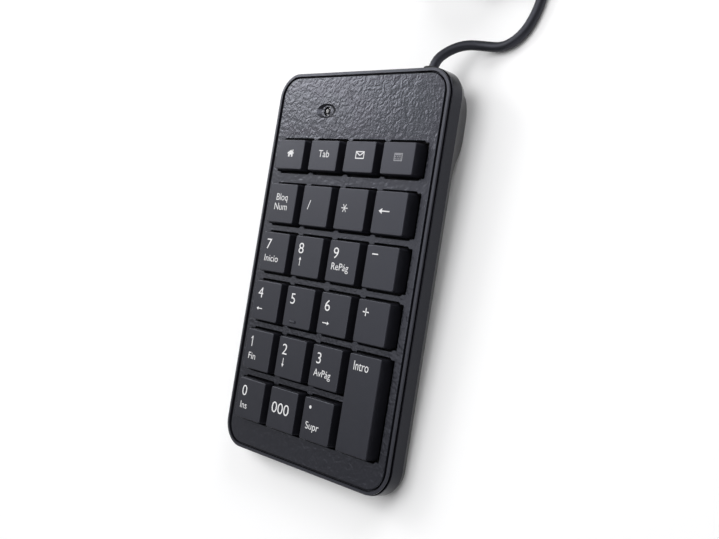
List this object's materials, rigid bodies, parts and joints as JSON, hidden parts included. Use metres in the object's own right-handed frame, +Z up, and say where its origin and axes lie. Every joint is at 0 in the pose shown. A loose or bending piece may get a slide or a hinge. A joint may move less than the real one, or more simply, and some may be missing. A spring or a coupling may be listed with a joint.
{
  "type": "numeric keypad",
  "caption": "Wired desk numeric keypad: flat black case tipped up at the rear, low square keys in rows, one tall key, an indicator light and a USB lead.",
  "frame": {"origin": "centre of the keypad's footprint, on the surface that its feet stand on, leaving out the lead", "axes": "+X to the keypad's right, +Y towards its rear, where the lead leaves, +Z up; the key deck rises towards the rear by 2.91 degrees"},
  "size_m": [0.1189, 0.2323, 0.019],
  "materials": {
    "key_plastic": "smooth satin, moulded",
    "textured_plastic": "pebbled, semi-gloss",
    "frame_plastic": "satin",
    "case_plastic": "fine satin",
    "guide_plastic": "plain",
    "silicone": "translucent matt",
    "polyester_film": "clear film with printed tracks",
    "steel_sheet": "plain sheet",
    "screw_steel": "nickel plated",
    "circuit_laminate": "solder mask",
    "chip_resin": "matt",
    "light_plastic": "clear",
    "white_nylon": "plain",
    "wire_insulation": "plain",
    "foot_rubber": "matt",
    "label_film": "blank",
    "cord_jacket": "satin",
    "plug_plastic": "satin, moulded",
    "shell_steel": "nickel plated",
    "contact_gilt": "gilt"
  },
  "bodies": {
    "keypad_base": {"face_plate": "textured_plastic", "top_frame": "frame_plastic", "bottom_case": "case_plastic", "key_guide_frame": "guide_plastic", "membrane_spacer": "polyester_film", "dome_sheet": "silicone", "circuit_board": "circuit_laminate", "controller_chip": "chip_resin", "indicator_led": "light_plastic", "light_lens": "light_plastic", "clamp_bar": "steel_sheet", "cord_header": "white_nylon", "lead_wires": "wire_insulation", "rating_label": "label_film", "cord_grommet": "foot_rubber", "backing_plate": "steel_sheet", "membrane_lower": "polyester_film", "membrane_upper": "polyester_film", "board_screws": "screw_steel", "case_screws": "screw_steel", "front_feet": "foot_rubber", "rear_feet": "foot_rubber", "cord": "cord_jacket", "cord_tail": "cord_jacket", "cord_coil": "cord_jacket", "cord_tie": "cord_jacket", "plug_overmould": "plug_plastic", "plug_shell": "shell_steel", "plug_tongue": "white_nylon", "plug_contacts": "contact_gilt"},
    "key_home": {"key_home": "key_plastic"},
    "key_tab": {"key_tab": "key_plastic"},
    "key_mail": {"key_mail": "key_plastic"},
    "key_calculator": {"key_calculator": "key_plastic"},
    "key_num_lock": {"key_num_lock": "key_plastic"},
    "key_divide": {"key_divide": "key_plastic"},
    "key_multiply": {"key_multiply": "key_plastic"},
    "key_backspace": {"key_backspace": "key_plastic"},
    "key_7": {"key_7": "key_plastic"},
    "key_8": {"key_8": "key_plastic"},
    "key_9": {"key_9": "key_plastic"},
    "key_minus": {"key_minus": "key_plastic"},
    "key_4": {"key_4": "key_plastic"},
    "key_5": {"key_5": "key_plastic"},
    "key_6": {"key_6": "key_plastic"},
    "key_plus": {"key_plus": "key_plastic"},
    "key_1": {"key_1": "key_plastic"},
    "key_2": {"key_2": "key_plastic"},
    "key_3": {"key_3": "key_plastic"},
    "key_enter": {"key_enter": "key_plastic"},
    "key_0": {"key_0": "key_plastic"},
    "key_triple_zero": {"key_triple_zero": "key_plastic"},
    "key_decimal": {"key_decimal": "key_plastic"},
    "stabiliser_wire": {"stabiliser_wire": "screw_steel"}
  },
  "joints": [
    {"name": "key_home_press", "type": "slide", "parent": "keypad_base", "child": "key_home", "axis": [0, 0.0508, -0.9987], "range_m": [0, 0.0025], "stiffness_N_per_m": 150, "springref_m": -0.0015, "deforming": ["dome_sheet"]},
    {"name": "key_tab_press", "type": "slide", "parent": "keypad_base", "child": "key_tab", "axis": [0, 0.0508, -0.9987], "range_m": [0, 0.0025], "stiffness_N_per_m": 150, "springref_m": -0.0015, "deforming": ["dome_sheet"]},
    {"name": "key_mail_press", "type": "slide", "parent": "keypad_base", "child": "key_mail", "axis": [0, 0.0508, -0.9987], "range_m": [0, 0.0025], "stiffness_N_per_m": 150, "springref_m": -0.0015, "deforming": ["dome_sheet"]},
    {"name": "key_calculator_press", "type": "slide", "parent": "keypad_base", "child": "key_calculator", "axis": [0, 0.0508, -0.9987], "range_m": [0, 0.0025], "stiffness_N_per_m": 150, "springref_m": -0.0015, "deforming": ["dome_sheet"]},
    {"name": "key_num_lock_press", "type": "slide", "parent": "keypad_base", "child": "key_num_lock", "axis": [0, 0.0508, -0.9987], "range_m": [0, 0.0025], "stiffness_N_per_m": 150, "springref_m": -0.0015, "deforming": ["dome_sheet"]},
    {"name": "key_divide_press", "type": "slide", "parent": "keypad_base", "child": "key_divide", "axis": [0, 0.0508, -0.9987], "range_m": [0, 0.0025], "stiffness_N_per_m": 150, "springref_m": -0.0015, "deforming": ["dome_sheet"]},
    {"name": "key_multiply_press", "type": "slide", "parent": "keypad_base", "child": "key_multiply", "axis": [0, 0.0508, -0.9987], "range_m": [0, 0.0025], "stiffness_N_per_m": 150, "springref_m": -0.0015, "deforming": ["dome_sheet"]},
    {"name": "key_backspace_press", "type": "slide", "parent": "keypad_base", "child": "key_backspace", "axis": [0, 0.0508, -0.9987], "range_m": [0, 0.0025], "stiffness_N_per_m": 150, "springref_m": -0.0015, "deforming": ["dome_sheet"]},
    {"name": "key_7_press", "type": "slide", "parent": "keypad_base", "child": "key_7", "axis": [0, 0.0508, -0.9987], "range_m": [0, 0.0025], "stiffness_N_per_m": 150, "springref_m": -0.0015, "deforming": ["dome_sheet"]},
    {"name": "key_8_press", "type": "slide", "parent": "keypad_base", "child": "key_8", "axis": [0, 0.0508, -0.9987], "range_m": [0, 0.0025], "stiffness_N_per_m": 150, "springref_m": -0.0015, "deforming": ["dome_sheet"]},
    {"name": "key_9_press", "type": "slide", "parent": "keypad_base", "child": "key_9", "axis": [0, 0.0508, -0.9987], "range_m": [0, 0.0025], "stiffness_N_per_m": 150, "springref_m": -0.0015, "deforming": ["dome_sheet"]},
    {"name": "key_minus_press", "type": "slide", "parent": "keypad_base", "child": "key_minus", "axis": [0, 0.0508, -0.9987], "range_m": [0, 0.0025], "stiffness_N_per_m": 150, "springref_m": -0.0015, "deforming": ["dome_sheet"]},
    {"name": "key_4_press", "type": "slide", "parent": "keypad_base", "child": "key_4", "axis": [0, 0.0508, -0.9987], "range_m": [0, 0.0025], "stiffness_N_per_m": 150, "springref_m": -0.0015, "deforming": ["dome_sheet"]},
    {"name": "key_5_press", "type": "slide", "parent": "keypad_base", "child": "key_5", "axis": [0, 0.0508, -0.9987], "range_m": [0, 0.0025], "stiffness_N_per_m": 150, "springref_m": -0.0015, "deforming": ["dome_sheet"]},
    {"name": "key_6_press", "type": "slide", "parent": "keypad_base", "child": "key_6", "axis": [0, 0.0508, -0.9987], "range_m": [0, 0.0025], "stiffness_N_per_m": 150, "springref_m": -0.0015, "deforming": ["dome_sheet"]},
    {"name": "key_plus_press", "type": "slide", "parent": "keypad_base", "child": "key_plus", "axis": [0, 0.0508, -0.9987], "range_m": [0, 0.0025], "stiffness_N_per_m": 150, "springref_m": -0.0015, "deforming": ["dome_sheet"]},
    {"name": "key_1_press", "type": "slide", "parent": "keypad_base", "child": "key_1", "axis": [0, 0.0508, -0.9987], "range_m": [0, 0.0025], "stiffness_N_per_m": 150, "springref_m": -0.0015, "deforming": ["dome_sheet"]},
    {"name": "key_2_press", "type": "slide", "parent": "keypad_base", "child": "key_2", "axis": [0, 0.0508, -0.9987], "range_m": [0, 0.0025], "stiffness_N_per_m": 150, "springref_m": -0.0015, "deforming": ["dome_sheet"]},
    {"name": "key_3_press", "type": "slide", "parent": "keypad_base", "child": "key_3", "axis": [0, 0.0508, -0.9987], "range_m": [0, 0.0025], "stiffness_N_per_m": 150, "springref_m": -0.0015, "deforming": ["dome_sheet"]},
    {"name": "key_enter_press", "type": "slide", "parent": "keypad_base", "child": "key_enter", "axis": [0, 0.0508, -0.9987], "range_m": [0, 0.0025], "stiffness_N_per_m": 150, "springref_m": -0.0015, "deforming": ["dome_sheet"]},
    {"name": "key_0_press", "type": "slide", "parent": "keypad_base", "child": "key_0", "axis": [0, 0.0508, -0.9987], "range_m": [0, 0.0025], "stiffness_N_per_m": 150, "springref_m": -0.0015, "deforming": ["dome_sheet"]},
    {"name": "key_triple_zero_press", "type": "slide", "parent": "keypad_base", "child": "key_triple_zero", "axis": [0, 0.0508, -0.9987], "range_m": [0, 0.0025], "stiffness_N_per_m": 150, "springref_m": -0.0015, "deforming": ["dome_sheet"]},
    {"name": "key_decimal_press", "type": "slide", "parent": "keypad_base", "child": "key_decimal", "axis": [0, 0.0508, -0.9987], "range_m": [0, 0.0025], "stiffness_N_per_m": 150, "springref_m": -0.0015, "deforming": ["dome_sheet"]},
    {"name": "stabiliser_swing", "type": "hinge", "parent": "keypad_base", "child": "stabiliser_wire", "pos_m": [0.0299, -0.04462, 0.00857], "axis": [0, -0.9987, -0.0508], "range_deg": [0, 20.6]}
  ],
  "couplings": [
    {"joint": "stabiliser_swing", "follows": "key_enter_press", "rad_per_m": 143.63}
  ]
}
